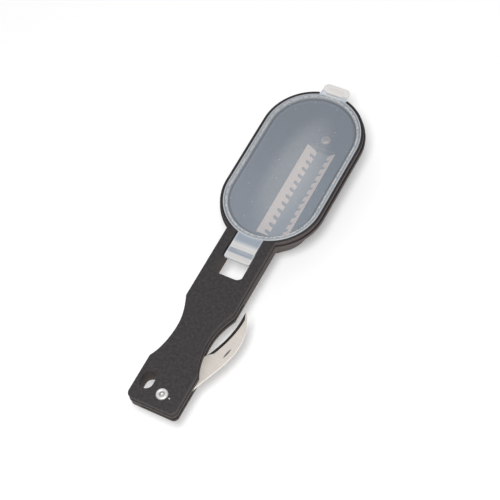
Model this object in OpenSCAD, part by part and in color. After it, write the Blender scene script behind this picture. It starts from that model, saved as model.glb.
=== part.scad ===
// Hand-held fish scaler: a flat handle with a folding gutting knife, and a
// head whose two toothed blades feed the scales up into a lidded tub.
// The origin is the centre of the lid's flat outer face. The lid faces +Z,
// the head end is +Y and the handle runs towards -Y.

/* [Head] */
// Radius of the lid's round ends, which is also half the lid's width
lid_r = 28; // [25:0.5:32]
// Distance from the head's centre to the centre of each round end
lid_run = 22.4; // [17:0.4:30]
// Width of the black rim that stands round the lid
rim_w = 1.6; // [1.2:0.1:2.4]
// Depth of the tub's underside below the lid's face
tub_depth = 27.4; // [23:0.2:32]
// Outside radius of the tub's round ends at its underside
foot_r = 19; // [17.5:0.25:21]
// Wall thickness of the tub
tub_wall = 2; // [1.4:0.1:2.6]
// Extra reach of the tub towards the handle
tub_reach = 1; // [0:0.25:2]

/* [Lid] */
// Thickness of the translucent lid
lid_t = 1.5; // [1:0.1:2]
// Half width of the tongue that hooks on to the hinge bar
tongue_half = 7.6; // [6:0.1:8.5]
// How far the thumb tab stands out past the lid's end
tab_reach = 7.1; // [5:0.1:10]
// Radius of the hinge bar across the handle's window
bar_r = 1.9; // [1.4:0.05:2.1]

/* [Handle] */
// Depth of the upper moulding, all round the head and the handle
shell_h = 5.8; // [5.6:0.1:7]
// Width of the handle
handle_w = 28.8; // [26:0.4:34]
// Width of the handle at its waist
waist_w = 19.3; // [18.6:0.1:25]
// Distance from the head's centre to the handle's end
handle_end = 159.8; // [154:0.2:185]
// Whole thickness of the handle
handle_h = 10; // [9.6:0.1:12]
// Half width of the window behind the head
window_half = 8.5; // [8.3:0.1:10]
// Half width of the hanging hole
hang_half_w = 3.8; // [3:0.1:4]
// Half length of the hanging hole
hang_half_l = 5; // [4.2:0.1:6]

/* [Scraper blades] */
// Pitch of the scraper teeth
tooth_pitch = 5.06; // [4:0.02:6.5]
// Depth of the gaps between the teeth
tooth_depth = 3; // [2:0.1:4]
// Width of a blade from the floor's edge to the tips of its teeth
strip_w = 7.5; // [6.5:0.1:8.5]
// Slope of each blade below the level
strip_slope = 40; // [34:1:46]
// Thickness of the scraper blades
strip_t = 1; // [0.6:0.1:1.4]

/* [Knife] */
// Thickness of the folding blade
knife_t = 1.6; // [1:0.1:1.8]
// Radius of the rivet's shank
rivet_r = 2; // [1.6:0.1:2.4]
// Radius of the rivet's heads
rivet_head_r = 3.3; // [2.8:0.1:3.8]

/* [Hidden] */
$fn = 96;

gap = 0.3;                    // clearance round a part that moves
run_gap = 0.06;               // radial clearance on a turning pin
seat_gap = 0.1;               // clearance under the closed lid
eps = 0.05;                   // overlap that lets cutters break through

// head and lid
rim_r = lid_r + rim_w;        // outside of the rim
lip_r = rim_r + 0.5;          // outside of the lip along the rim's foot
lip_h = 2.1;                  // height of that lip
groove = 0.5;                 // depth of the groove above the lip
groove_top = 1.4;             // where that groove starts below the face
ledge_z = -(lid_t + seat_gap);
ledge_r = lid_r - 2.5;        // inside of the ledge the lid sits on
skirt_r = ledge_r - gap;      // outside of the skirt below the lid
skirt_t = 1.2;
skirt_h = 2.4;

// hinge, window and catch
hinge_y = -(lid_run + lid_r + 11.3);
hinge_z = -3.3;
clip_r = bar_r + run_gap + 1.15;
clip_mouth = 1.5 * bar_r;
tongue_end = hinge_y - 4.8;
ear_half = tongue_half + gap;
window_top = hinge_y + 5.7;
window_end = hinge_y - 15.3;
tab_half = 7.9;               // half width of the thumb tab
way_half = tongue_half + 2 * gap; // half width of the tongue's way to the window
notch_half = tab_half + 0.7;
catch_half = 4.9;
slot_near = lid_r - 1.1;      // catch slot's near edge from the end's centre
slot_w = 1.4;

// tub
tub_top_r = lid_r - 0.8;
tub_y = [-(lid_run + tub_reach), lid_run];
floor_t = 2.6;
floor_z = -(tub_depth - floor_t);
foot_bevel = 1.3;

// scraper blades, on slopes that fall towards the middle
strip_x = 9.2;                // throat's half width at the floor
strip_z = -(tub_depth - 1.1); // level of the blade's face at that edge
strip_tuck = 1;               // width hidden below the floor's edge
throat_y = [-33.6, 31];
strip_end = 1.5;              // length tucked in beyond each end of the throat
first_gap = 26.9;             // first gap between teeth, from the centre
pad_h = 3;
pad_r = 12.4;
pad_y = [-29, 27];
screw_y = [-38, 36.1];
screw_head_r = 2.8;
screw_r = 1.4;

// handle
hw = handle_w / 2;
ww = waist_w / 2;
waist_y = [for (up = [64.3, 46.4, 25.4]) up - handle_end];
end_r = 4.2;
end_bevel = 0.8;
lower_inset = 0.3;
lower_bevel = 1.2;
hang = [-8, 12.2 - handle_end];
hang_wall = 1.1;

// knife
pivot = [3, 8.1 - handle_end];
knife_tip = [14.4, 62.6];     // from the pivot, with the blade half open
knife_top = -(shell_h + gap);
cavity_floor = -(shell_h + knife_t + 2 * gap);
cavity_x = -6.6;
cavity_y = pivot[1] + norm(knife_tip) + 2;
tang_r = 6.2;
grind_w = 2;
grind_t = 0.65;
rivet_top = 0.9;
rivet_foot = 0.8;

// ---------------------------------------------------------------- helpers

function unit(v) = v / norm(v);

// Outline moved inwards by d, for points that run anticlockwise.
function inset(pts, d) = [
  for (i = [0:len(pts) - 1])
    let (b = pts[i],
         u = unit(b - pts[(i + len(pts) - 1) % len(pts)]),
         v = unit(pts[(i + 1) % len(pts)] - b),
         na = [-u[1], u[0]],
         nb = [-v[1], v[0]])
    b + (na + nb) * d / (1 + na * nb)
];

function bezier(p, n) = [
  for (i = [0:n])
    let (t = i / n, s = 1 - t)
    s * s * s * p[0] + 3 * s * s * t * p[1] + 3 * s * t * t * p[2] + t * t * t * p[3]
];

function arc(c, r, a0, a1, n) = [
  for (i = [0:n]) let (a = a0 + (a1 - a0) * i / n) c + r * [cos(a), sin(a)]
];

function reversed(list) = [for (i = [len(list) - 1:-1:0]) list[i]];

// Solid through rings of equal length, each anticlockwise seen from the next.
module skin(rings) {
  m = len(rings[0]);
  n = len(rings);
  polyhedron(
    points = [for (r = rings) each r],
    faces = concat(
      [[for (i = [0:m - 1]) i]],
      [[for (i = [m - 1:-1:0]) (n - 1) * m + i]],
      [for (j = [0:n - 2], i = [0:m - 1])
        [j * m + i, (j + 1) * m + i, (j + 1) * m + (i + 1) % m, j * m + (i + 1) % m]]),
    convexity = 6);
}

// Strip with round ends of radius r, between centres y[0] and y[1].
module stadium(r, y) {
  for (c = y) translate([0, c]) circle(r);
  translate([-r, y[0]]) square([2 * r, y[1] - y[0]]);
}

module stadium_slab(r, y, z0, z1) {
  translate([0, 0, z0]) linear_extrude(z1 - z0) stadium(r, y);
}

// The same strip, but with its radius changing from r0 at z0 to r1 at z1.
module stadium_taper(r0, r1, y, z0, z1) {
  for (c = y) translate([0, c, z0]) cylinder(h = z1 - z0, r1 = r0, r2 = r1);
  bar([[-r0, z0], [r0, z0], [r1, z1], [-r1, z1]], y);
}

// Section pts in X and Z, run along Y.
module bar(pts, y) {
  translate([0, y[1], 0]) rotate([90, 0, 0]) linear_extrude(y[1] - y[0]) polygon(pts);
}

module box(x, y, z) {
  translate([x[0], y[0], z[0]]) cube([x[1] - x[0], y[1] - y[0], z[1] - z[0]]);
}

// Rectangle with corner radius r.
module round_rect(x, y, r) {
  for (cx = [x[0] + r, x[1] - r], cy = [y[0] + r, y[1] - r]) translate([cx, cy]) circle(r);
  translate([x[0] + r, y[0]]) square([x[1] - x[0] - 2 * r, y[1] - y[0]]);
  translate([x[0], y[0] + r]) square([x[1] - x[0], y[1] - y[0] - 2 * r]);
}

module oval(half_w, half_l) {
  stadium(half_w, [-(half_l - half_w), half_l - half_w]);
}

// Shaft along X, centred on the hinge.
module hinge_rod(r, half) {
  translate([-half, hinge_y, hinge_z]) rotate([0, 90, 0]) cylinder(h = 2 * half, r = r);
}

// ---------------------------------------------------------------- handle

// Right-hand side of the handle from the head down, waist included.
function handle_side(x) = concat(
  bezier([[x, waist_y[0]], [x - 0.38 * (x - ww), waist_y[0] - 4],
          [ww, waist_y[0] - 10.5], [ww, waist_y[1]]], 10),
  reversed(bezier([[x, waist_y[2]], [ww + 0.32 * (x - ww), waist_y[2] + 4.9],
                   [ww, waist_y[1] - 7.1], [ww, waist_y[1] - 0.4]], 10)));

function handle_right(root) = concat(
  [[hw, root]],
  handle_side(hw),
  reversed(arc([hw - end_r, -handle_end + end_r], end_r, -90, 0, 8)));

// Whole outline, anticlockwise, starting at the head end.
function handle_outline(root) =
  let (r = handle_right(root))
  concat([for (p = r) [-p[0], p[1]]], reversed(r));

handle_root = -(lid_run + 18);

module handle_slab(d, z0, z1) {
  translate([0, 0, z0]) linear_extrude(z1 - z0) polygon(inset(handle_outline(handle_root), d));
}

// Edge that steps in from d0 at z0 to d1 at z1.
module handle_steps(d0, d1, z0, z1) {
  n = 3;
  for (i = [0:n - 1])
    handle_slab(d0 + (d1 - d0) * (i + 0.5) / n,
                z0 + (z1 - z0) * i / n, z0 + (z1 - z0) * (i + 1) / n);
}

module window_cut() {
  z = [-handle_h - 1, 1];
  translate([0, 0, z[0]]) linear_extrude(z[1] - z[0]) {
    round_rect([-window_half, window_half], [window_end, window_top], 3.2);
    round_rect([-window_half, window_half], [window_end + 0.5, hinge_y + 3.6], 2.2);
  }
}

module hang_cut(grow) {
  translate([hang[0], hang[1], -handle_h - 1]) linear_extrude(handle_h + 2)
    oval(hang_half_w + grow, hang_half_l + grow);
}

module rivet_hole(r) {
  translate([pivot[0], pivot[1], -handle_h - 1]) cylinder(h = handle_h + 2, r = r);
}

// ---------------------------------------------------------------- nodes

module top_frame() {
  color("#3f3b3c") {
    difference() {
      union() {
        rim_body();
        handle_top();
      }
      stadium_slab(lid_r + gap, [-lid_run, lid_run], ledge_z, 1);
      stadium_slab(ledge_r, [-lid_run, lid_run], -shell_h - 1, 1);
      // way for the tongue, from the lid's recess to the window
      box([-way_half, way_half], [window_top - 4, -lid_run - ledge_r + 1], [ledge_z, 1]);
      window_cut();
      tab_notch();
      hang_cut(0);
      rivet_hole(rivet_r + run_gap);
    }
    // bar that the lid's tongue clips round
    hinge_rod(bar_r, window_half + 1.5);
    catch_nib();
  }
}

module rim_body() {
  y = [-lid_run, lid_run];
  stadium_taper(rim_r, rim_r - 0.5, y, -0.5, 0);
  stadium_slab(rim_r, y, -groove_top, -0.5);
  stadium_slab(rim_r - groove, y, -(shell_h - lip_h), -groove_top);
  stadium_slab(lip_r, y, -shell_h, -(shell_h - lip_h));
}

module handle_top() {
  handle_steps(0, end_bevel, -end_bevel, 0);
  handle_slab(0, -groove_top, -end_bevel);
  handle_slab(groove, -(shell_h - lip_h), -groove_top);
  handle_slab(0, -shell_h, -(shell_h - lip_h));
}

module tab_notch() {
  box([-notch_half, notch_half], [lid_run + ledge_r + 1, lid_run + lip_r + 1], [-(lid_t + 0.6), 1]);
}

// Nib that stands up through the slot in the lid's tab.
module catch_nib() {
  y0 = lid_run + slot_near + gap;
  box([-catch_half + gap, catch_half - gap], [y0, y0 + slot_w - 2 * gap], [-(lid_t + 1), -0.5]);
}

module tub() {
  color("#463f3d") {
    difference() {
      union() {
        stadium_taper(foot_r - foot_bevel, foot_r, tub_y, -tub_depth, -tub_depth + foot_bevel);
        stadium_taper(foot_r, tub_top_r, tub_y, -tub_depth + foot_bevel, -shell_h);
        handle_base();
      }
      stadium_taper(foot_r - tub_wall + 0.3, tub_top_r - tub_wall, tub_y, floor_z, -shell_h + eps);
      box([-strip_x, strip_x], throat_y, [-tub_depth - 1, floor_z + 1]);
      strip_room();
      for (y = screw_y) translate([0, y, -tub_depth - 1]) cylinder(h = floor_t + 2, r = screw_r + run_gap);
      window_cut();
      hang_cut(0);
      rivet_hole(rivet_r + run_gap);
    }
  }
}

// Lower half of the handle, with the room the knife folds into.
module handle_base() {
  difference() {
    union() {
      handle_steps(lower_inset + lower_bevel, lower_inset, -handle_h, -handle_h + lower_bevel);
      handle_slab(lower_inset, -handle_h + lower_bevel, -shell_h);
    }
    difference() {
      box([cavity_x, handle_w], [-handle_end - 5, cavity_y], [cavity_floor, -shell_h + 1]);
      hang_cut(hang_wall);
    }
  }
}

module blade_carrier() {
  lower = strip_under(4);
  top = strip_under(0.5);
  z0 = -tub_depth - pad_h;
  color("#332f30")
    difference() {
      union() {
        stadium_taper(pad_r - 1, pad_r, pad_y, z0, z0 + 1);
        stadium_slab(pad_r, pad_y, z0 + 1, -tub_depth);
      }
      // throat between the two sloping cheeks
      bar([[-lower[0] - 0.7, z0 - 1], [lower[0] + 0.7, z0 - 1], [lower[0], lower[1]],
           [top[0] + 0.6, -tub_depth + eps], [-top[0] - 0.6, -tub_depth + eps],
           [-lower[0], lower[1]]], throat_y);
      strip_room();
      for (y = screw_y) translate([0, y, z0 + 0.8]) cylinder(h = pad_h, r = screw_r + run_gap);
    }
}

// Point on the underside of the right-hand blade, v along its slope.
function strip_under(v) = [
  strip_x - v * cos(strip_slope) + strip_t * sin(strip_slope),
  strip_z - v * sin(strip_slope) - strip_t * cos(strip_slope)
];

module on_slope() {
  translate([-strip_x, 0, strip_z]) rotate([0, strip_slope, 0]) children();
}

strip_y = [throat_y[0] - strip_end, throat_y[1] + strip_end];

// Room for both blades in the floor and in the carrier's ends.
module strip_room() {
  for (side = [0, 1]) mirror([side, 0, 0]) on_slope()
    box([-strip_tuck - 0.02, strip_w + 0.3], [strip_y[0] - 0.02, strip_y[1] + 0.02],
        [-strip_t - 0.02, 0.02]);
}

module strip() {
  gaps = floor((first_gap - throat_y[0] - 3) / tooth_pitch);
  corner = 1.8;
  on_slope()
    translate([0, 0, -strip_t]) linear_extrude(strip_t)
      difference() {
        union() {
          round_rect([-strip_tuck, strip_w - 0.4], strip_y, corner);
          translate([2, strip_y[0]]) square([strip_w - 2, strip_y[1] - strip_y[0]]);
        }
        for (i = [0:gaps]) translate([strip_w - tooth_depth, first_gap - i * tooth_pitch]) {
          translate([0.7, -tooth_pitch * 0.24]) square([tooth_depth, tooth_pitch * 0.48]);
          translate([0.9, 0]) circle(tooth_pitch * 0.24);
        }
        // scoop ahead of the first tooth
        for (y = [strip_y[0], strip_y[1]]) translate([strip_w + 0.6, y]) circle(2.6);
      }
}

module blade_left() {
  color("#bdb4b0") strip();
}

module blade_right() {
  color("#bdb4b0") mirror([1, 0, 0]) strip();
}

module carrier_screws() {
  color("#c9c9cc")
    for (y = screw_y) translate([0, y, floor_z]) {
      difference() {
        union() {
          cylinder(h = 0.9, r = screw_head_r);
          translate([0, 0, 0.9]) cylinder(h = 0.7, r1 = screw_head_r, r2 = screw_head_r - 0.9);
        }
        for (a = [0, 90]) rotate(a) box([-1.6, 1.6], [-0.35, 0.35], [0.6, 2]);
      }
      translate([0, 0, -floor_t - pad_h + 1]) cylinder(h = floor_t + pad_h - 1, r = screw_r);
    }
}

module lid() {
  y = [-lid_run, lid_run];
  color("#a9b4c0", 0.6)
    difference() {
      union() {
        stadium_slab(lid_r, y, -lid_t, -0.4);
        stadium_taper(lid_r, lid_r - 0.4, y, -0.4, 0);
        difference() {
          stadium_slab(skirt_r, y, -lid_t - skirt_h, -lid_t);
          stadium_slab(skirt_r - skirt_t, y, -lid_t - skirt_h - 1, -lid_t);
        }
        tongue();
        tab();
      }
      // fine groove that sets the panel off from its border
      difference() {
        stadium_slab(ledge_r + 0.3, y, -0.35, 1);
        stadium_slab(ledge_r - 0.4, y, -1, 2);
      }
      // slot in the tab for the catch
      box([-catch_half, catch_half], [lid_run + slot_near, lid_run + slot_near + slot_w], [-lid_t - 1, 1]);
    }
}

module tongue() {
  difference() {
    union() {
      box([-tongue_half, tongue_half], [hinge_y - 2, -lid_run - lid_r + 2], [-lid_t, 0]);
      translate([0, 0, -lid_t]) linear_extrude(lid_t)
        round_rect([-ear_half, ear_half], [tongue_end, hinge_y + 3], 1.2);
      hinge_rod(clip_r, tongue_half);
    }
    hinge_rod(bar_r + run_gap, tongue_half + 1);
    box([-tongue_half - 1, tongue_half + 1], [hinge_y - clip_mouth / 2, hinge_y + clip_mouth / 2],
        [hinge_z - clip_r - 1, hinge_z]);
  }
}

module tab() {
  translate([0, 0, -lid_t]) linear_extrude(lid_t)
    round_rect([-tab_half, tab_half], [lid_run + lid_r - 5, lid_run + lid_r + tab_reach], 2.8);
}

// Outline of the folding blade about its pivot, anticlockwise.
function cutting_edge() = bezier([knife_tip, [15.2, 52], [13.2, 43], [7.8, 31.2]], 12);

function knife_back() = concat(
  bezier([[11.3, 4.8], [11.1, 13.5], [15.4, 20.5], [18.6, 30.7]], 8),
  bezier([[18.9, 31.7], [22.1, 42], [22.6, 51], [15.4, 61.8]], 12));

function knife_outline() = concat(
  cutting_edge(),
  bezier([[7.5, 30.6], [6.2, 27], [4, 23], [1, 20.5]], 5),
  [[-3.2, 17.4], [-4.6, 15.2]],
  // hollow that passes the hanging hole's wall when the blade is folded
  [[-3.9, 12.6], [-3.1, 10.2], [-3, 8.2], [-3.6, 6.2], [-4.6, 4.2]],
  arc([0, 0], tang_r, 155, 322, 16),
  knife_back());

module knife_blade() {
  color("#dbd3cb")
    translate([pivot[0], pivot[1], knife_top - knife_t])
      difference() {
        linear_extrude(knife_t) polygon(knife_outline());
        translate([0, 0, -1]) cylinder(h = knife_t + 2, r = rivet_r + run_gap);
        edge_grind();
        translate([0, 0, knife_t]) mirror([0, 0, 1]) edge_grind();
        nail_nick();
      }
}

// Points of the cutting edge with the line the grind reaches back to.
function grind_lines() =
  let (e = cutting_edge())
  [for (i = [1:11])
    let (t = unit(e[i + 1] - e[i - 1]), n = [-t[1], t[0]])
    [e[i] - 0.4 * n, e[i] + grind_w * n]];

module edge_grind() {
  z = knife_t;
  skin([for (l = grind_lines()) [
    [l[1][0], l[1][1], z],
    [l[1][0], l[1][1], z + 0.5],
    [l[0][0], l[0][1], z + 0.5],
    [l[0][0], l[0][1], z - grind_t]]]);
}

// Crescent that a fingernail catches to open the knife.
module nail_nick() {
  translate([0, 0, knife_t - 0.4]) linear_extrude(1)
    intersection() {
      translate([24.4, 35.2]) circle(8);
      translate([9.2, 38.6]) circle(9);
    }
}

// Tubular rivet: plain head below, rolled end with its hollow above.
module rivet() {
  color("#d8d6d4")
    translate([pivot[0], pivot[1], 0]) rotate_extrude()
      polygon(concat(
        [[0, -handle_h - rivet_foot], [rivet_head_r - 0.4, -handle_h - rivet_foot],
         [rivet_head_r, -handle_h - 0.4], [rivet_head_r, -handle_h], [rivet_r, -handle_h],
         [rivet_r, 0], [rivet_head_r, 0]],
        arc([rivet_head_r - 0.9, 0.02], 0.88, 0, 90, 8),
        [[1.7, rivet_top - 0.1], [1.35, rivet_top - 0.5], [1.2, -1.2], [0, -1.4]]));
}

top_frame();
tub();
blade_carrier();
blade_left();
blade_right();
carrier_screws();
lid();
knife_blade();
rivet();
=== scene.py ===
"""Hand-held fish scaler, built piece by piece over its jointed frame.

The tool lies with its lid up. The middle of the lid's face is the origin, the
head points along +Y and the handle along -Y. The sizes in this file that have
no unit are millimetres.
"""

import math
from types import SimpleNamespace

import bmesh
import bpy
from mathutils import Matrix, Vector


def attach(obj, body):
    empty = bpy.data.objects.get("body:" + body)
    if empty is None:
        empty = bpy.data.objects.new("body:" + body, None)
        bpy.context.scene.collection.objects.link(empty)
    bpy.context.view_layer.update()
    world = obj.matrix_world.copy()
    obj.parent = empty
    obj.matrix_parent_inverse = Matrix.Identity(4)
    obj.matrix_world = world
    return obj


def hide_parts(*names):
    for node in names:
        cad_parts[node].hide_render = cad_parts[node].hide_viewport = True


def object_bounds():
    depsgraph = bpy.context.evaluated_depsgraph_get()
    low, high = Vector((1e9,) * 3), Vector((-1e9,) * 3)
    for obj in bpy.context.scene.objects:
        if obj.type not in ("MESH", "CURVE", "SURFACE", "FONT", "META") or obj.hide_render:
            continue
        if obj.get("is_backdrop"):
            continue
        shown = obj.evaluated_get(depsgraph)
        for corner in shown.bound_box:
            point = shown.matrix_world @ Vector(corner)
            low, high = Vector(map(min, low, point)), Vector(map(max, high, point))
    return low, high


bl_info = {
    "name": "Fish Scaler",
    "version": (1, 0, 0),
    "blender": (4, 5, 0),
    "location": "3D View > Sidebar > Scaler",
    "description": "Builds a fish scaler with a lidded tub and a folding knife",
    "category": "Add Mesh",
}

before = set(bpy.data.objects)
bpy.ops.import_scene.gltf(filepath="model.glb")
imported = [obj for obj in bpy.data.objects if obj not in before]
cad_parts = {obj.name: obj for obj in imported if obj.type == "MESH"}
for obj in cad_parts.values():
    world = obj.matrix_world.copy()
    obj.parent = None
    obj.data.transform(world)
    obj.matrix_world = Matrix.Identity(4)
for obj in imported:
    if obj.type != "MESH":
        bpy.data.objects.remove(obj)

MM = 0.001
CLOSE = 0.002  # points nearer to each other than this are one
LEVEL = 0.004  # how far from a height an edge there may be


# ---------------------------------------------------------------- settings


def amount(name, description, default, **more):
    """A number that the sidebar shows."""
    return bpy.props.FloatProperty(
        name=name, description=description, default=default, **more
    )


def length(name, description, default):
    """A size in millimetres, which the sidebar shows in the scene's unit."""
    more = {"min": 0.0, "subtype": "DISTANCE", "unit": "LENGTH", "precision": 4}
    return amount(name, description, default * MM, **more)


def angle(name, description, default):
    """An angle in degrees."""
    return amount(name, description, math.radians(default), subtype="ANGLE")


def tint(name, description, default):
    """A colour that the sidebar shows."""
    return bpy.props.FloatVectorProperty(
        name=name, description=description, default=default,
        min=0.0, max=1.0, size=3, subtype="COLOR",
    )


class ScalerSizes(bpy.types.PropertyGroup):
    """Sizes of the tool, which agree with its frame by default."""

    lid_radius: length("Lid radius", "Half the lid's width", 28)
    lid_run: length("Lid run", "From the middle to the centre of a round end", 22.4)
    lid_thickness: length("Lid thickness", "Thickness of the lid's plate", 1.5)
    rim_width: length("Rim width", "Width of the rim that stands round the lid", 1.6)
    shell_depth: length("Shell depth", "Depth of the upper moulding", 5.8)
    tub_depth: length("Tub depth", "Depth of the tub's underside", 27.4)
    tub_wall: length("Tub wall", "Wall thickness of the tub", 2)
    foot_radius: length("Foot radius", "Radius of the tub's round ends below", 19)
    handle_width: length("Handle width", "Width of the handle", 28.8)
    waist_width: length("Waist width", "Width of the handle at its waist", 19.3)
    handle_end: length("Handle end", "From the middle to the handle's end", 159.8)
    handle_depth: length("Handle depth", "Thickness of the whole handle", 10)
    hinge_bar: length("Hinge bar", "Radius of the bar that the lid clips round", 1.9)
    tooth_pitch: length("Tooth pitch", "Distance from one tooth to the next", 5.06)
    blade_thickness: length("Blade thickness", "Thickness of a scraper blade", 1)
    knife_thickness: length("Knife thickness", "Thickness of the knife", 1.6)
    rivet_head: length("Rivet head", "Radius of the rivet's heads", 3.3)


class ScalerColours(bpy.types.PropertyGroup):
    """Base colours of the finishes."""

    charcoal: tint("Charcoal", "Upper moulding", (0.036, 0.032, 0.033))
    lower_charcoal: tint("Lower charcoal", "Lower moulding", (0.046, 0.039, 0.036))
    satin_black: tint("Satin black", "Blade carrier", (0.03, 0.027, 0.027))
    milky: tint("Milky", "Lid", (0.51, 0.58, 0.67))
    milky_edge: tint("Milky edge", "Lid's cut edges", (0.76, 0.79, 0.82))
    bead: tint("Bead", "Lid's border beads and thumb tab", (0.9, 0.87, 0.84))
    strip_steel: tint("Strip steel", "Scraper blades", (0.92, 0.73, 0.61))
    knife_steel: tint("Knife steel", "Knife", (0.87, 0.81, 0.75))
    nickel: tint("Nickel", "Rivet", (0.92, 0.91, 0.90))
    zinc: tint("Zinc", "Screws", (0.86, 0.62, 0.5))


class ScalerStudio(bpy.types.PropertyGroup):
    """The floor, the light and the camera."""

    floor_tone: tint("Floor", "Colour of the floor", (0.93, 0.93, 0.93))
    key_power: amount("Key light", "Power of the main light", 4.6, unit="POWER")
    fill_power: amount("Fill light", "Power of the fill light", 0.3, unit="POWER")
    floor_glow: amount("Floor glow", "Light that the floor gives off", 0.24)
    sky: amount("Sky", "Brightness of the surroundings", 0.42)
    azimuth: angle("Azimuth", "Side that the camera stands on", 40.88)
    elevation: angle("Elevation", "Height of the camera above the horizon", 57.7)
    roll: angle("Roll", "Turn of the camera about its own axis", -14.88)
    distance: length("Distance", "From the camera to the handle's root", 856.2)


def values_of(group):
    """Names of the numbers and colours in a settings group."""
    return [p.identifier for p in group.bl_rna.properties if p.type == "FLOAT"]


def in_mm(group):
    """The sizes of a settings group as plain numbers in millimetres."""
    return SimpleNamespace(**{n: getattr(group, n) / MM for n in values_of(group)})


# ---------------------------------------------------------------- outlines


def arc(centre, radius, start, end, steps):
    """Points on an arc, from one angle to another in degrees."""
    turns = [math.radians(start + (end - start) * i / steps) for i in range(steps + 1)]
    return [
        (centre[0] + radius * math.cos(t), centre[1] + radius * math.sin(t))
        for t in turns
    ]


def sweep(a, b, c, d, steps):
    """Points on a curve that leaves a towards b and reaches d from c."""
    points = []
    for i in range(steps + 1):
        t = i / steps
        s = 1 - t
        shares = (s * s * s, 3 * s * s * t, 3 * s * t * t, t * t * t)
        points.append(
            tuple(sum(w * p[k] for w, p in zip(shares, (a, b, c, d))) for k in (0, 1))
        )
    return points


def shrink(points, distance):
    """The same anticlockwise outline, moved inwards."""
    moved = []
    for i, point in enumerate(points):
        here = Vector(point)
        before = (here - Vector(points[i - 1])).normalized()
        after = (Vector(points[(i + 1) % len(points)]) - here).normalized()
        left_before = Vector((-before.y, before.x))
        left_after = Vector((-after.y, after.x))
        step = (left_before + left_after) * distance / (1 + left_before.dot(left_after))
        moved.append(tuple(here + step))
    return moved


def round_ended(radius, low, high, steps=40):
    """A strip along Y with round ends, whose centres are at low and high."""
    return arc((0, high), radius, 0, 180, steps) + arc((0, low), radius, 180, 360, steps)


def round_box(x, y, radius, steps=6):
    """A rectangle with round corners."""
    corners = (
        (x[1] - radius, y[0] + radius, -90),
        (x[1] - radius, y[1] - radius, 0),
        (x[0] + radius, y[1] - radius, 90),
        (x[0] + radius, y[0] + radius, 180),
    )
    return [p for cx, cy, a in corners for p in arc((cx, cy), radius, a, a + 90, steps)]


def plain_box(x, y):
    """A rectangle."""
    return [(x[0], y[0]), (x[1], y[0]), (x[1], y[1]), (x[0], y[1])]


def waist_side(s):
    """Right-hand edge of the handle from its end up to the head, waist included."""
    hw, ww = s.handle_width / 2, s.waist_width / 2
    # where the waist starts, is narrowest and ends, above the handle's end
    top, middle, low = (up - s.handle_end for up in (64.3, 46.4, 25.4))
    corner = 3.3
    upper = sweep(
        (hw, top), (hw - 0.38 * (hw - ww), top - 4), (ww, top - 10.5), (ww, middle), 14
    )
    lower = sweep(
        (hw, low), (ww + 0.32 * (hw - ww), low + 4.9), (ww, middle - 7.1),
        (ww, middle - 0.4), 14
    )
    end = arc((hw - corner, corner - s.handle_end), corner, -90, 0, 8)
    return end + lower + upper[::-1]


def handle_outline(s, root):
    """The handle alone, cut off square at its root, anticlockwise."""
    right = waist_side(s) + [(s.handle_width / 2, root)]
    return right + [(-x, y) for x, y in right[::-1]]


def tool_outline(s, head_radius, fillet=1.2):
    """The head and the handle in one, anticlockwise."""
    hw, centre = s.handle_width / 2, -s.lid_run
    meet = centre - math.sqrt((head_radius + fillet) ** 2 - (hw + fillet) ** 2)
    turn = math.degrees(math.atan2(centre - meet, -(hw + fillet)))
    neck = arc((hw + fillet, meet), fillet, 180, turn, 4)
    below = arc((0, centre), head_radius, turn - 180, 0, 24)
    right = waist_side(s) + neck + below[1:]
    far = arc((0, s.lid_run), head_radius, 0, 180, 48)
    return right + far + [(-x, y) for x, y in right[::-1]]


# ---------------------------------------------------------------- modelling


def let_go():
    """Leaves edit mode and selects nothing."""
    if bpy.context.object and bpy.context.object.mode != "OBJECT":
        bpy.ops.object.mode_set(mode="OBJECT")
    bpy.ops.object.select_all(action="DESELECT")


def hold(piece):
    """Makes a piece the only one selected."""
    let_go()
    piece.select_set(True)
    bpy.context.view_layer.objects.active = piece


def edit(piece):
    """Opens a piece for editing with all of it selected."""
    hold(piece)
    bpy.ops.object.mode_set(mode="EDIT")
    bpy.ops.mesh.select_mode(type="VERT")
    bpy.ops.mesh.select_all(action="SELECT")


def pick(piece, kind, test):
    """Selects the vertices, edges or faces that pass a test of place and element."""
    bpy.ops.mesh.select_mode(type=kind)
    bpy.ops.mesh.select_all(action="DESELECT")
    mesh = bmesh.from_edit_mesh(piece.data)
    items = {"VERT": mesh.verts, "EDGE": mesh.edges, "FACE": mesh.faces}[kind]
    found = 0
    for item in items:
        corners = [item] if kind == "VERT" else item.verts
        place = sum((v.co for v in corners), Vector()) / len(corners) / MM
        if test(place, item):
            item.select_set(True)
            found += 1
    bmesh.update_edit_mesh(piece.data)
    return found


def settle(piece):
    """Puts a piece's place, turn and size into its mesh."""
    hold(piece)
    bpy.ops.object.transform_apply(location=True, rotation=True, scale=True)


def draw(name, spots):
    """Draws a line from spot to spot and leaves it open and selected."""
    let_go()
    bpy.ops.mesh.primitive_plane_add(size=MM)
    piece = bpy.context.object
    piece.name = piece.data.name = name
    bpy.ops.object.mode_set(mode="EDIT")
    bpy.ops.mesh.select_mode(type="VERT")
    bpy.ops.mesh.merge(type="CENTER")
    bpy.ops.transform.translate(value=[c * MM for c in spots[0]])
    for here, there in zip(spots, spots[1:]):
        step = [(b - a) * MM for a, b in zip(here, there)]
        bpy.ops.mesh.extrude_region_move(TRANSFORM_OT_translate={"value": step})
    bpy.ops.mesh.select_all(action="SELECT")
    return piece


def trace(name, points, height):
    """A closed outline at a height, filled."""
    spots = [(x, y, height) for x, y in points]
    piece = draw(name, spots + spots[:1])
    bpy.ops.mesh.remove_doubles(threshold=CLOSE * MM)
    bpy.ops.mesh.edge_face_add()
    return piece


def outwards():
    """Turns every face of the open piece to the outside."""
    bpy.ops.mesh.select_all(action="SELECT")
    bpy.ops.mesh.normals_make_consistent(inside=False)


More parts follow.
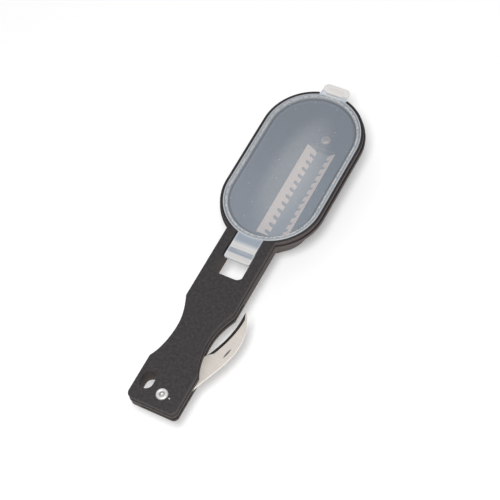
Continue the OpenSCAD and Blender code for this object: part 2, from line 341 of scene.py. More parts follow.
def soften(piece, test, width, steps=3):
    """Rounds over the edges that pass a test of place and element."""
    if not pick(piece, "EDGE", test):
        raise RuntimeError(f"{piece.name} has no edge to soften there")
    bpy.ops.mesh.bevel(
        offset=width * MM, segments=steps, profile=0.5, affect="EDGES", clamp_overlap=True
    )


def at_height(height):
    """A test for edges that lie level at a height."""
    return lambda place, edge: all(
        abs(v.co.z / MM - height) < LEVEL for v in edge.verts
    )


def sharp_at(height, where, least=55):
    """A test for level edges at a height, sharper than least and in a fit place."""
    level = at_height(height)
    return lambda place, edge: (
        level(place, edge)
        and len(edge.link_faces) == 2
        and edge.calc_face_angle(0) > math.radians(least)
        and where(place)
    )


def slab(name, points, low, high, soft_low=0, soft_high=0, steps=3):
    """An outline raised from one height to another, with its edges rounded over."""
    piece = trace(name, points, low)
    bpy.ops.mesh.extrude_region_move(
        TRANSFORM_OT_translate={"value": (0, 0, (high - low) * MM)}
    )
    outwards()
    for height, width in ((low, soft_low), (high, soft_high)):
        if width:
            soften(piece, at_height(height), width, steps)
    let_go()
    return piece


def block(name, x, y, low, high, *soft):
    """A box from one height to another."""
    return slab(name, plain_box(x, y), low, high, *soft)


def bowl(name, points, top, straight, thickness, depth):
    """An outline sunk from a height: straight at first, then drawn in."""
    piece = trace(name, points, top)
    bpy.ops.mesh.extrude_region_move(
        TRANSFORM_OT_translate={"value": (0, 0, -straight * MM)}
    )
    outwards()
    pick(piece, "FACE", lambda p, f: abs(p.z - (top - straight)) < LEVEL)
    bpy.ops.mesh.inset(thickness=thickness * MM, depth=depth * MM, use_even_offset=True)
    let_go()
    return piece


def turned(piece, axis, degrees):
    """Turns a piece about the origin."""
    hold(piece)
    piece.rotation_euler["XYZ".index(axis)] = math.radians(degrees)
    settle(piece)
    return piece


def moved(piece, x, y, z):
    """Moves a piece."""
    hold(piece)
    piece.location = (x * MM, y * MM, z * MM)
    settle(piece)
    return piece


def flipped(piece):
    """Mirrors a piece across the middle plane."""
    hold(piece)
    piece.scale.x = -1
    settle(piece)
    edit(piece)
    outwards()
    let_go()
    return piece


def twin(piece, name):
    """A copy of a piece, with its own mesh."""
    hold(piece)
    bpy.ops.object.duplicate(linked=False)
    copy = bpy.context.object
    copy.name = copy.data.name = name
    return copy


def beam(name, section, start, end):
    """A section in X and Z, run along Y."""
    return turned(slab(name, section, -end, -start), "X", 90)


def rod(name, centre, radius, along, reach):
    """A round rod along X or Z through a centre."""
    let_go()
    bpy.ops.mesh.primitive_cylinder_add(
        vertices=48,
        radius=radius * MM,
        depth=reach * MM,
        location=[c * MM for c in centre],
        rotation=(0, math.pi / 2, 0) if along == "X" else (0, 0, 0),
    )
    piece = bpy.context.object
    piece.name = name
    settle(piece)
    return piece


def lathe(name, profile, centre, steps=64):
    """A profile of distance and height, spun about an upright axis."""
    piece = draw(name, [(x, 0, z) for x, z in profile])
    bpy.ops.mesh.spin(steps=steps, angle=2 * math.pi, center=(0, 0, 0), axis=(0, 0, 1))
    bpy.ops.mesh.select_all(action="SELECT")
    bpy.ops.mesh.remove_doubles(threshold=CLOSE * MM)
    outwards()
    return moved(piece, *centre)


def combine(piece, others, operation):
    """Joins or cuts a piece with others, which are used up."""
    for other in others:
        hold(piece)
        bpy.ops.object.modifier_add(type="BOOLEAN")
        step = piece.modifiers[-1]
        step.operation, step.solver, step.object = operation, "EXACT", other
        bpy.ops.object.modifier_apply(modifier=step.name)
        bpy.data.objects.remove(other)
    if not piece.data.polygons:
        raise RuntimeError(f"nothing is left of {piece.name}")
    return piece


def weld(piece, *others):
    """Joins solids into one."""
    return combine(piece, others, "UNION")


def cut(piece, *tools):
    """Cuts solids away from a piece."""
    return combine(piece, tools, "DIFFERENCE")


def tidy(piece):
    """Merges what lies on the same spot."""
    edit(piece)
    bpy.ops.mesh.remove_doubles(threshold=2 * CLOSE * MM)
    bpy.ops.mesh.dissolve_degenerate(threshold=CLOSE * MM)
    bpy.ops.mesh.select_all(action="DESELECT")


def complete(piece, paint, body, slot, *nodes, crisp=32):
    """Smooths a piece, paints it and puts it on the body that it moves with."""
    tidy(piece)
    hold(piece)
    bpy.ops.object.shade_smooth_by_angle(angle=math.radians(crisp))
    bpy.ops.object.modifier_add(type="WEIGHTED_NORMAL")
    piece.modifiers[-1].keep_sharp = True
    bpy.ops.object.modifier_apply(modifier=piece.modifiers[-1].name)
    piece.data.materials.append(paint)
    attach(piece, body)
    if nodes:
        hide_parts(*nodes)
    let_go()
    return piece


# ---------------------------------------------------------------- finishes


class Wire:
    """A node's output, which takes part in sums."""

    def __init__(self, finish, socket):
        self.finish = finish
        self.socket = socket

    def maths(self, operation, *values):
        """Adds a Math node for numbers and wires, or for this wire alone."""
        inputs = dict(enumerate(values or [self]))
        return self.finish.node("ShaderNodeMath", {"operation": operation}, inputs)

    def __add__(self, other):
        return self.maths("ADD", self, other)

    __radd__ = __add__

    def __sub__(self, other):
        return self.maths("SUBTRACT", self, other)

    def __rsub__(self, other):
        return self.maths("SUBTRACT", other, self)

    def __mul__(self, other):
        return self.maths("MULTIPLY", self, other)

    __rmul__ = __mul__

    def __pow__(self, other):
        return self.maths("POWER", self, other)

    def __abs__(self):
        return self.maths("ABSOLUTE")


class Finish:
    """One material, built node by node."""

    def __init__(self, name, constants):
        self.material = bpy.data.materials.new(name)
        self.material.use_nodes = True
        self.tree = self.material.node_tree
        self.shader = self.tree.nodes["Principled BSDF"]
        for socket, value in constants.items():
            self.shader.inputs[socket].default_value = value

    def node(self, kind, settings=None, inputs=None, output=0):
        """Adds a node: its settings first, then its sockets' values or links."""
        node = self.tree.nodes.new(kind)
        for name, value in (settings or {}).items():
            setattr(node, name, value)
        for name, value in (inputs or {}).items():
            self.feed(node.inputs[name], value)
        return Wire(self, node.outputs[output])

    def feed(self, socket, value):
        """Links a wire to a socket, or sets the socket's value."""
        if isinstance(value, Wire):
            self.tree.links.new(value.socket, socket)
        elif hasattr(socket.default_value, "__len__") and len(value) == 3:
            full = len(socket.default_value) == 4
            socket.default_value = (*value, 1) if full else tuple(value)
        else:
            socket.default_value = value

    def wear(self, **inputs):
        """Feeds the shader's own sockets."""
        for name, value in inputs.items():
            self.feed(self.shader.inputs[name.replace("_", " ").title()], value)
        return self.material

    def place(self, output="Object"):
        """The piece's own coordinates in metres, or another output of that node."""
        return self.node("ShaderNodeTexCoord", output=output)

    def parts(self, vector):
        """The three parts of a vector."""
        first = self.node("ShaderNodeSeparateXYZ", inputs={0: vector})
        return [Wire(self, first.socket.node.outputs[i]) for i in range(3)]

    def millimetres(self):
        """The three parts of the piece's own coordinates, in millimetres."""
        return [part * (1 / MM) for part in self.parts(self.place())]

    def upright(self):
        """How squarely the surface faces up or down, from 0 to 1."""
        return abs(self.parts(self.place("Normal"))[2])

    def spread(self, vector, scale=(1, 1, 1), turn=(0, 0, 0), shift=(0, 0, 0)):
        """A vector stretched, turned and moved."""
        inputs = {"Vector": vector, "Scale": scale, "Rotation": turn, "Location": shift}
        return self.node("ShaderNodeMapping", {"vector_type": "POINT"}, inputs)

    def noise(self, vector, size, detail=3.0, rough=0.5):
        """Cloudy noise whose patches are about size millimetres across."""
        inputs = {"Vector": vector, "Scale": 1 / (size * MM)}
        inputs |= {"Detail": detail, "Roughness": rough}
        return self.node("ShaderNodeTexNoise", {"noise_dimensions": "3D"}, inputs)

    def cells(self, vector, size):
        """Distance within cells that are about size millimetres across."""
        inputs = {"Vector": vector, "Scale": 1 / (size * MM)}
        return self.node("ShaderNodeTexVoronoi", {"feature": "F1"}, inputs)

    def between(self, value, low, high):
        """0 below low, 1 above high and smooth between them."""
        inputs = {"Value": value, "From Min": low, "From Max": high}
        return self.node("ShaderNodeMapRange", {"interpolation_type": "SMOOTHSTEP"}, inputs)

    def band(self, value, low, high, soft):
        """1 from low to high and smooth to 0 outside them."""
        return self.between(value, low - soft, low) * (
            1 - self.between(value, high, high + soft)
        )

    def blend(self, share, first, second):
        """Two colours, mixed by a share."""
        inputs = {0: share, 6: first, 7: second}
        return self.node("ShaderNodeMix", {"data_type": "RGBA"}, inputs, output=2)

    def relief(self, height, strength, reach):
        """A bump of reach millimetres from a height of 0 to 1."""
        inputs = {"Height": height, "Strength": strength, "Distance": reach * MM}
        return self.node("ShaderNodeBump", inputs=inputs)


def shade(colour, factor):
    """A lighter or darker tone of a colour."""
    return tuple(min(1.0, c * factor) for c in colour)


def toned(colour, factors):
    """A colour with each of its parts changed by a factor of its own."""
    return tuple(c * f for c, f in zip(colour, factors))


def moulded(name, colour, grain=0.32, gloss=0.56, specular=0.35):
    """Spark-eroded black moulding: a fine pebbled grain, with painted highlights on its
    edges, painted shade on the head's top and painted light on its walls.
    """
    finish = Finish(name, {"Metallic": 0.0, "IOR": 1.48, "Specular IOR Level": specular})
    place = finish.place()
    pebble = finish.cells(place, grain)
    fine = finish.noise(place, grain * 1.7, 4.0, 0.6)
    cloud = finish.noise(place, 9.0, 3.0, 0.55)
    facing = finish.upright()
    # painted highlight: edges that point neither up nor sideways are painted paler, as
    # light caught on their bevels, and made a little glossier
    edge = finish.between(facing, 0.2, 0.55) * (1 - finish.between(facing, 0.8, 0.97))
    mottle = finish.noise(place, 1.7, 3.0, 0.7)
    base = finish.blend(cloud, shade(colour, 0.82), shade(colour, 1.04))
    base = finish.blend(finish.between(mottle, 0.35, 0.7), base, shade(colour, 1.55))
    flecked = finish.blend(
        finish.between(fine, 0.55, 0.74) * 0.5, base, shade(colour, 1.9)
    )
    # painted shade: the head's top is painted darker than the handle's
    head = finish.between(finish.millimetres()[1], -52, -46)
    level = finish.between(facing, 0.8, 0.97)
    head_top_shaded = finish.blend(head * level * 0.55, flecked, shade(colour, 0.4))
    edge_highlighted = finish.blend(edge * (0.5 - 0.4 * head), head_top_shaded, shade(colour, 2.1))
    # painted light: faces that point sideways are painted paler and warmer, as if lit from
    # the floor, and more so round the head's side than the handle's
    side = finish.blend(
        head, toned(colour, (2.1, 1.95, 1.8)), toned(colour, (4.2, 3.8, 3.5))
    )
    wall = finish.blend((1 - finish.between(facing, 0.15, 0.5)) * 0.7, edge_highlighted, side)
    return finish.wear(
        base_color=wall,
        roughness=gloss + 0.14 * fine + 0.06 * cloud - 0.08 * edge,
        normal=finish.relief(pebble * 0.6 + fine * 0.6, 0.42, 0.07),
    )


def milky_lid(name, sizes, colours):
    """Translucent lid: bluish panel, beaded border, pale tongue and tab."""
    finish = Finish(name, {"Metallic": 0.0, "IOR": 1.49, "Specular IOR Level": 0.3})
    between, band, blend = finish.between, finish.band, finish.blend
    milky, edge_tone, bead_tone = colours.milky, colours.milky_edge, colours.bead
    # painted light: the bluish tone over the blades, the pale tone of the tongue over the
    # window and the near-white tone along its crease
    throat_light_tone, dust_tone = (0.78, 0.84, 0.91), (0.9, 0.93, 0.95)
    strap_tone, crease_highlight_tone = (0.86, 0.85, 0.84), (0.96, 0.96, 0.96)
    place = finish.place()
    x, y, z = finish.millimetres()
    facing = finish.upright()
    across = abs(x)
    past_run = abs(y) - sizes.lid_run
    past_run = past_run.maths("MAXIMUM", past_run, 0.0)
    reach = (x * x + past_run * past_run) ** 0.5
    radius = sizes.lid_radius
    off_lid = between(reach, radius, radius + 0.3)
    on_lid = 1 - off_lid
    tongue = off_lid * between(-1 * y, 0, 1)
    tab = off_lid * between(y, 0, 1)
    grain = finish.noise(place, 2.2, 4.0, 0.6)
    cloud = finish.noise(place, 26.0, 2.0, 0.5)
    beads = between(finish.cells(place, 1.1), 0.2, 0.62)
    dust = 1 - between(finish.cells(place, 4.6), 0.04, 0.07)

    # the panel is paler towards the handle, and over the blades a pool of painted light
    # stands in for light coming up through the throat
    u, v = (x - 2.0) * (1 / 13.0), (y + 5.0) * (1 / 36.0)
    throat_light = 1 - between(u * u + v * v, 0.05, 1.6)
    panel = blend(between(y, -45, 48), shade(milky, 1.12), shade(milky, 0.94))
    panel = blend(throat_light, panel, throat_light_tone)
    panel = blend(cloud * 0.3, panel, shade(milky, 1.15))
    panel = blend(dust * 0.75, panel, dust_tone)

    # the border: a dark line of painted shade along the groove, a row of beads, a bluish
    # band and a pale edge
    groove_shade = band(reach, radius - 3.2, radius - 2.8, 0.2)
    bead_row = band(reach, radius - 2.4, radius - 1.5, 0.25) * beads
    rim_line = between(reach, radius - 0.7, radius - 0.4) * on_lid
    border = between(reach, radius - 2.8, radius - 2.5)
    tone = blend(groove_shade * 0.4, panel, shade(milky, 0.65))
    tone = blend(border, tone, shade(milky, 0.95))
    tone = blend(bead_row * 0.9, tone, bead_tone)
    tone = blend(rim_line * 0.9, tone, edge_tone)

    # the tongue: bluish at the lid and darker over the hinge bar; between them, over the
    # open window, it is painted pale as light from below, with a painted highlight along
    # its crease
    down = -1 * y - (sizes.lid_run + radius)
    over_bar = band(down, 9.6, 12.1, 0.5)
    pale = between(down, 3.2, 6.6) * (1 - over_bar)
    crease_highlight = band(down, 6.4, 6.9, 0.2)
    flank = between(abs(x - 0.4), 6.8, 7.2)
    strap = blend(pale, shade(milky, 1.22), strap_tone)
    strap = blend(crease_highlight * 0.6, strap, crease_highlight_tone)
    strap = blend(flank * 0.8, strap, edge_tone)
    tone = blend(tongue, tone, strap)

    # the tab: near white, with bluish struts where it crosses the rim
    up = y - (sizes.lid_run + radius)
    strut = (1 - between(up, 1.4, 2.2)) * between(across, 4.4, 5.0)
    dish = (1 - between(across, 4.4, 5.0)) * band(up, 3.0, 5.2, 0.35)
    thumb = blend(dish * 0.6, bead_tone, shade(bead_tone, 0.86))
    thumb = blend(strut, thumb, shade(milky, 1.05))
    tone = blend(tab, tone, thumb)

    # a pale skin covers the pocket for the catch
    pocket = band(up, -1.2, 0.4, 0.2) * (1 - between(across, 4.9, 5.2))
    tone = blend(pocket * 0.8, tone, edge_tone)
    foot = band(up, 0.2, 0.9, 0.2) * (1 - between(across, 4.6, 5.0))
    tone = blend(foot * 0.7, tone, shade(milky, 0.5))

    # cut edges catch the light; the skirt below the plate stays clear
    side = (1 - between(facing, 0.3, 0.8)) * between(z, -1.66, -1.56)
    tone = blend(side, tone, edge_tone)
    cover = 0.26 + 0.02 * cloud + 0.12 * border + 0.16 * bead_row + 0.3 * rim_line
    cover = cover + dust * 0.25
    cover = cover * (1 - 0.6 * (1 - between(z, -1.9, -1.7)))
    cover = cover * on_lid + tongue * (0.38 + 0.27 * pale + 0.2 * flank)
    cover = cover + tab * (0.68 - 0.25 * strut)
    cover = cover + pocket * (0.78 - cover)
    return finish.wear(
        base_color=tone,
        roughness=0.3 + 0.14 * grain - 0.08 * border,
        alpha=cover + side * (0.88 - cover),
        normal=finish.relief(grain * 0.3 + beads * border * on_lid, 0.22, 0.08),
    )


def brushed(name, colour, along, roughness, sheen=1.0, ground=None, glow=0.0):
    """Ground or rolled steel with fine lines along one direction.

    With ground, a lean and the height of the flat, faces that lean more are
    polished facets painted darker as a dark reflection, and level ones just below
    the flat, in the nail nick, are painted near black as shade. With glow, the
    steel gives off painted light of its own.
    """
    # with glow, the steel gives off painted light of its own
    shine = {"IOR": 2.2, "Specular IOR Level": 0.5, "Emission Strength": glow}
    finish = Finish(name, shine)
    place = finish.place()
    drawn_out = finish.spread(place, [1 / 60 if a == along else 1 for a in "XYZ"])
    lines = finish.noise(drawn_out, 0.35, 5.0, 0.65)
    cloud = finish.noise(place, 6.0, 3.0, 0.5)
    slanted = finish.spread(place, (0.4, 3.0, 1.0), (0, 0, 0.6))
    scratch = finish.between(finish.noise(slanted, 1.1, 3.0, 0.6), 0.62, 0.75)
    base = finish.blend(cloud, shade(colour, 0.9), shade(colour, 1.06))
    lined = finish.blend(finish.between(lines, 0.35, 0.7), shade(colour, 0.93), base)
    marked = finish.blend(scratch * 0.3, lined, shade(colour, 1.25))
    satin = roughness + 0.16 * lines + 0.06 * cloud - 0.05 * scratch
    if ground:
        lean, flat = ground
        facing = finish.upright()
        # painted reflection: the polished facets are painted darker
        facet = finish.band(facing, 0.5, lean - 0.01, 0.01)
        marked = finish.blend(facet * 0.6, marked, shade(colour, 0.5))
        # painted shade: the floor of the nail nick is painted near black
        depth = flat - finish.millimetres()[2]
        nick = finish.band(depth, 0.36, 0.44, 0.04) * finish.between(facing, 0.96, 0.99)
        marked = finish.blend(nick * 0.9, marked, shade(colour, 0.08))
        satin = satin * (1 - facet) + facet * 0.16
        sheen = sheen + facet * (1 - sheen)
    return finish.wear(
        base_color=marked,
        roughness=satin,
        metallic=sheen,
        emission_color=colour,
        normal=finish.relief(lines, 0.14, 0.03),
    )


def turned_metal(name, colour, centre, roughness, sheen, hollow):
    """Plated metal with faint rings about its own axis, painted darker in its hollow as
    shade.
    """
    finish = Finish(name, {"Metallic": sheen, "IOR": 2.2})
    place = finish.place()
    centred = finish.spread(place, shift=[-c * MM for c in (*centre, 0)])
    x, y, _ = finish.parts(centred)
    distance = (x * x + y * y) ** 0.5
    ring = 0.22 * MM
    rings = (distance * (2 * math.pi / ring)).maths("SINE")
    cloud = finish.noise(place, 0.8, 4.0, 0.6)
    dull = finish.between(cloud, 0.5, 0.72)
    base = finish.blend(dull, colour, shade(colour, 0.7))
    # painted shade: the hollow in the middle is painted darker
    inside = 1 - finish.between(distance, (hollow - 0.25) * MM, hollow * MM)
    base = finish.blend(inside * 0.5, base, shade(colour, 0.3))
    return finish.wear(
        base_color=base,
        roughness=roughness + 0.14 * cloud + 0.02 * rings,
        normal=finish.relief(rings * 0.5 + cloud, 0.15, 0.02),
    )


# ---------------------------------------------------------------- pieces

PAST = 1  # how far a cutter reaches past what it cuts
PLAY = 0.02  # room round a part that is held still
RUNNING = 0.06  # room round a part that turns
KNIFE_TIP = (14.4, 62.6)  # all points of the knife are counted from its pivot


def gauge(s):
    """Sizes that follow from the ones that are set."""
    s.run = (-s.lid_run, s.lid_run)
    s.lid_end = s.lid_run + s.lid_radius
    s.rim = s.lid_radius + s.rim_width
    s.lip = s.rim + 0.5
    s.ledge = s.lid_radius - 2.5
    s.through = (-s.handle_depth - PAST, PAST)
    s.hinge_y = -(s.lid_end + 11.3)
    s.hinge_z = -3.3
    s.window_half = 8.5
    s.window_top = s.hinge_y + 5.7
    s.window_end = s.hinge_y - 15.3
    s.catch_half = 4.9
    s.pivot = (3.0, 8.1 - s.handle_end)
    s.shank = 2.0
    s.hole = (-8.0, 12.2 - s.handle_end)
    s.hole_radius = 3.8
    s.cavity_end = s.pivot[1] + math.hypot(*KNIFE_TIP) + 2
    s.floor = -(s.tub_depth - 2.6)
    s.throat = (-33.6, 31.0)
    s.strip_x = 9.2
    s.strip_z = -(s.tub_depth - 1.1)
    s.strip_width = 7.5
    s.slope = 40.0
    s.strip_ends = (-35.1, 32.5)
    s.screws = (-38.0, 36.1)
    s.screw_shank = 1.4
    s.pad_bottom = -(s.tub_depth + 3)
    return s


def settings():
    """The tool's sizes in millimetres and its colours."""
    scene = bpy.context.scene
    tones = scene.scaler_colours
    colours = SimpleNamespace(**{n: tuple(getattr(tones, n)) for n in values_of(tones)})
    return gauge(in_mm(scene.scaler_sizes)), colours


def hanging_hole(s, radius):
    """Outline round the middle of the hanging hole."""
    x, y = s.hole
    return [(x + px, y + py) for px, py in round_ended(radius, -1.2, 1.2, 20)]


def handle_tools(s):
    """What cuts the window, the ears' wider room, the hanging and rivet holes."""
    low, high = s.through
    wide = (-s.window_half, s.window_half)
    window = round_box(wide, (s.window_end, s.window_top), 3.2)
    ears = round_box(wide, (s.window_end + 0.5, s.hinge_y + 3.6), 2.2)
    middle = (*s.pivot, (low + high) / 2)
    return [
        slab("window_tool", window, low, high),
        slab("ear_tool", ears, low, high),
        slab("hang_tool", hanging_hole(s, s.hole_radius), low, high),
        rod("shank_tool", middle, s.shank + RUNNING, "Z", high - low),
    ]


def laid_in(piece, s):
    """Tilts a flat strip to the blades' slope and moves it to the left side."""
    turned(piece, "Y", s.slope)
    return moved(piece, -s.strip_x, 0, s.strip_z)


def strip_room(s):
    """What cuts the slots that hold the ends of both blades."""
    width = (-1 - PLAY, s.strip_width + 0.3)
    length = (s.strip_ends[0] - PLAY, s.strip_ends[1] + PLAY)
    tools = [
        laid_in(block("strip_tool", width, length, -s.blade_thickness - PLAY, PLAY), s)
        for _ in range(2)
    ]
    flipped(tools[1])
    return tools


def screw_room(s):
    """What cuts the holes for both screws' shanks."""
    middle, depth = (s.floor + s.pad_bottom) / 2 + 0.4, s.floor - s.pad_bottom
    radius = s.screw_shank + RUNNING
    return [rod("screw_tool", (0, y, middle), radius, "Z", depth) for y in s.screws]


class SCALER_OT_upper_moulding(bpy.types.Operator):
    """Build the black moulding that frames the lid and forms the handle's top"""

    bl_idname = "scaler.upper_moulding"
    bl_label = "Upper moulding"

    def execute(self, context):
        s, colours = settings()
        bottom = -s.shell_depth
        top_band, groove, lip_band = 1.4, 0.5, 2.1
        lid_room, tab_room = 1.6, 2.1
        way_half, notch_half = 8.2, 8.6
        outline = tool_outline(s, s.rim)
        piece = slab("upper_moulding", outline, -top_band, 0, 0.22, 0.6)
        core = slab("core", shrink(outline, groove), bottom + 0.3, -top_band / 2)
        lip_outline = tool_outline(s, s.lip)
        lip = slab("lip", lip_outline, bottom, bottom + lip_band, 0.15, 0.3)
        weld(piece, core, lip)
        around_lid = round_ended(s.lid_radius + 0.3, *s.run)
        recess = slab("recess_tool", around_lid, -lid_room, PAST)
        opening = slab("opening_tool", round_ended(s.ledge, *s.run), bottom - PAST, 0)
        way_y = (s.window_top - 4, -s.lid_run - s.ledge + PAST)
        way = block("way_tool", (-way_half, way_half), way_y, -lid_room, PAST)
        notch_y = (s.lid_run + s.ledge + 1, s.lid_run + s.lip + PAST)
        notch = block("notch_tool", (-notch_half, notch_half), notch_y, -tab_room, PAST)
        cut(piece, recess, opening, way, notch)
        cut(piece, *handle_tools(s))
        tidy(piece)

        def outside(place):
            return not (place.y > s.lid_run + s.ledge and abs(place.x) < 9.2)

        soften(piece, sharp_at(0, outside), 0.25, 2)
        bar = rod("bar", (0, s.hinge_y, s.hinge_z), s.hinge_bar, "X", 20)
        nib_half, nib_y, nib_width = s.catch_half - 0.3, s.lid_end - 0.8, 0.8
        nib = block(
            "nib", (-nib_half, nib_half), (nib_y, nib_y + nib_width), -2.5, -0.5, 0, 0.2
        )
        weld(piece, bar, nib)
        paint = moulded("charcoal_moulding", colours.charcoal)
        complete(piece, paint, "handle", "frame_plastic", "top_frame")
        return {"FINISHED"}


class SCALER_OT_lower_moulding(bpy.types.Operator):
    """Build the tub together with the handle's lower half"""

    bl_idname = "scaler.lower_moulding"
    bl_label = "Lower moulding"

    def execute(self, context):
        s, colours = settings()
        run = (-(s.lid_run + 1), s.lid_run)
        top = -s.shell_depth
        top_r = s.lid_radius - 0.8
        straight, bevel = 0.3, 1.3
        fall = s.tub_depth - bevel - s.shell_depth - straight
        foot = top - straight - fall
        piece = bowl(
            "lower_moulding", round_ended(top_r, *run), top, straight,
            top_r - s.foot_radius, fall,
        )
        edit(piece)
        pick(piece, "FACE", lambda p, f: abs(p.z - foot) < 0.01)
        bpy.ops.mesh.inset(thickness=bevel * MM, depth=bevel * MM, use_even_offset=True)
        soften(piece, at_height(foot), 1.1, 4)
        grip = shrink(handle_outline(s, -s.lid_run - 18), 0.3)
        weld(piece, slab("base", grip, -s.handle_depth, top, 0.5, 0, 4))

        inner_r = top_r - s.tub_wall
        inner = bowl(
            "inner_tool", round_ended(inner_r, *run), top + 0.5, 0.5,
            inner_r - (s.foot_radius - s.tub_wall + 0.3), top - s.floor,
        )
        edit(inner)
        soften(inner, at_height(s.floor), 1.4, 4)
        throat = block(
            "throat_tool", (-s.strip_x, s.strip_x), s.throat,
            -s.tub_depth - PAST, s.floor + PAST,
        )
        # the knife's pocket, with a wall left standing round the hanging hole
        pocket = block(
            "cavity_tool", (-6.6, 20), (-s.handle_end - 5, s.cavity_end),
            top - s.knife_thickness - 0.6, top + PAST,
        )
        wall = hanging_hole(s, s.hole_radius + 1.1)
        cut(pocket, slab("wall", wall, -s.handle_depth - PAST, 2))
        cut(piece, inner, throat, pocket)
        cut(piece, *handle_tools(s))
        cut(piece, *strip_room(s), *screw_room(s))
        paint = moulded("lower_moulding", colours.lower_charcoal, 0.36, 0.62, 0.25)
        complete(piece, paint, "handle", "tub_plastic", "tub")
        return {"FINISHED"}


class SCALER_OT_blade_carrier(bpy.types.Operator):
    """Build the plate below the tub that clamps both scraper blades"""

    bl_idname = "scaler.blade_carrier"
    bl_label = "Blade carrier"

    def execute(self, context):
        s, colours = settings()
        pad = round_ended(12.4, -29, 27)
        piece = slab("carrier_plate", pad, s.pad_bottom, -s.tub_depth, 0.9, 0, 4)
        turn = math.radians(s.slope)
        thick = s.blade_thickness

        def under(down):
            """The spot below a blade's underside, a way down its slope."""
            return (
                s.strip_x - down * math.cos(turn) + thick * math.sin(turn),
                s.strip_z - down * math.sin(turn) - thick * math.cos(turn),
            )

        lx, lz = under(4)
        mouth_x, seat_x = lx + 0.7, under(0.5)[0] + 0.6
        low, high = s.pad_bottom - PAST, -s.tub_depth + 0.5
        section = [
            (-mouth_x, low), (mouth_x, low), (lx, lz),
            (seat_x, high), (-seat_x, high), (-lx, lz),
        ]
        cut(piece, beam("throat_tool", section, *s.throat), *strip_room(s), *screw_room(s))
        tidy(piece)

        def mouth(place):
            along = s.throat[0] - 1 < place.y < s.throat[1] + 1
            return along and abs(place.x) < s.strip_x

        soften(piece, sharp_at(s.pad_bottom, mouth, 40), 0.3, 2)
        paint = moulded("satin_black_plate", colours.satin_black, 0.5, 0.38)
        complete(piece, paint, "handle", "carrier_plastic", "blade_carrier")
        return {"FINISHED"}


def strip_outline(s):
    """One blade laid flat: X runs down its slope and Y along it."""
    low, high = s.strip_ends
    width, back, corner = s.strip_width, -1, 1.8
    gap = s.tooth_pitch * 0.24
    root = width - 3 + 0.9
    scoop = 2.6
    scoop_x = width + 0.6
    reach = math.degrees(math.acos(0.6 / scoop))
    points = arc((back + corner, low + corner), corner, 180, 270, 6)
    points += arc((scoop_x, low), scoop, 180, 180 - reach, 8)
    last = 26.9
    for i in range(int((last - s.throat[0] - 3) // s.tooth_pitch), -1, -1):
        y = last - i * s.tooth_pitch
        points.append((width, y - gap))
        points += arc((root, y), gap, 270, 90, 10)
        points.append((width, y + gap))
    points += arc((scoop_x, high), scoop, 180 + reach, 180, 8)
    points += arc((back + corner, high - corner), corner, 90, 180, 6)
    return points


class SCALER_OT_scraper_blades(bpy.types.Operator):
    """Build the two toothed steel strips that slope into the throat"""

    bl_idname = "scaler.scraper_blades"
    bl_label = "Scraper blades"

    def execute(self, context):
        s, colours = settings()
        flat = strip_outline(s)
        left = slab("scraper_blade_left", flat, -s.blade_thickness, 0, 0.1, 0.14, 2)
        laid_in(left, s)
        right = flipped(twin(left, "scraper_blade_right"))
        # painted light: the blades glow a little, standing in for light reaching them
        # through the lid
        paint = brushed("rolled_strip_steel", colours.strip_steel, "Y", 0.42, 0.3, glow=0.2)
        complete(left, paint, "handle", "scraper_steel", "blade_left")
        complete(right, paint, "handle", "scraper_steel", "blade_right")
        return {"FINISHED"}


class SCALER_OT_carrier_screws(bpy.types.Operator):
    """Build the two cross-head screws that hold the carrier to the tub"""

    bl_idname = "scaler.carrier_screws"
    bl_label = "Carrier screws"

    def execute(self, context):
        s, colours = settings()
        shank, head, end = s.screw_shank, 2.8, -4.6
        profile = [
            (0, end), (shank - 0.3, end), (shank, end + 0.3), (shank, 0),
            (head - 0.1, 0), (head, 0.12), (head, 0.75), (2.62, 1.08),
            (2.2, 1.38), (1.7, 1.55), (1.0, 1.6), (0, 1.6),
        ]
        near = lathe("carrier_screw_near", profile, (0, 0, 0), 40)
        long, short = (-1.6, 1.6), (-0.35, 0.35)
        cross = [
            block("cross_tool", x, y, 0.6, 2) for x, y in ((long, short), (short, long))
        ]
        cut(near, *cross)
        moved(near, 0, s.screws[0], s.floor)
        far = twin(near, "carrier_screw_far")
        moved(far, 0, s.screws[1] - s.screws[0], 0)
        near_paint, far_paint = [
            turned_metal("bright_screw_" + word, colours.zinc, (0, y), 0.5, 0.5, 2.15)
            for word, y in zip(("near", "far"), s.screws)
        ]
        complete(near, near_paint, "handle", "screw_steel", "carrier_screws")
        complete(far, far_paint, "handle", "screw_steel")
        return {"FINISHED"}


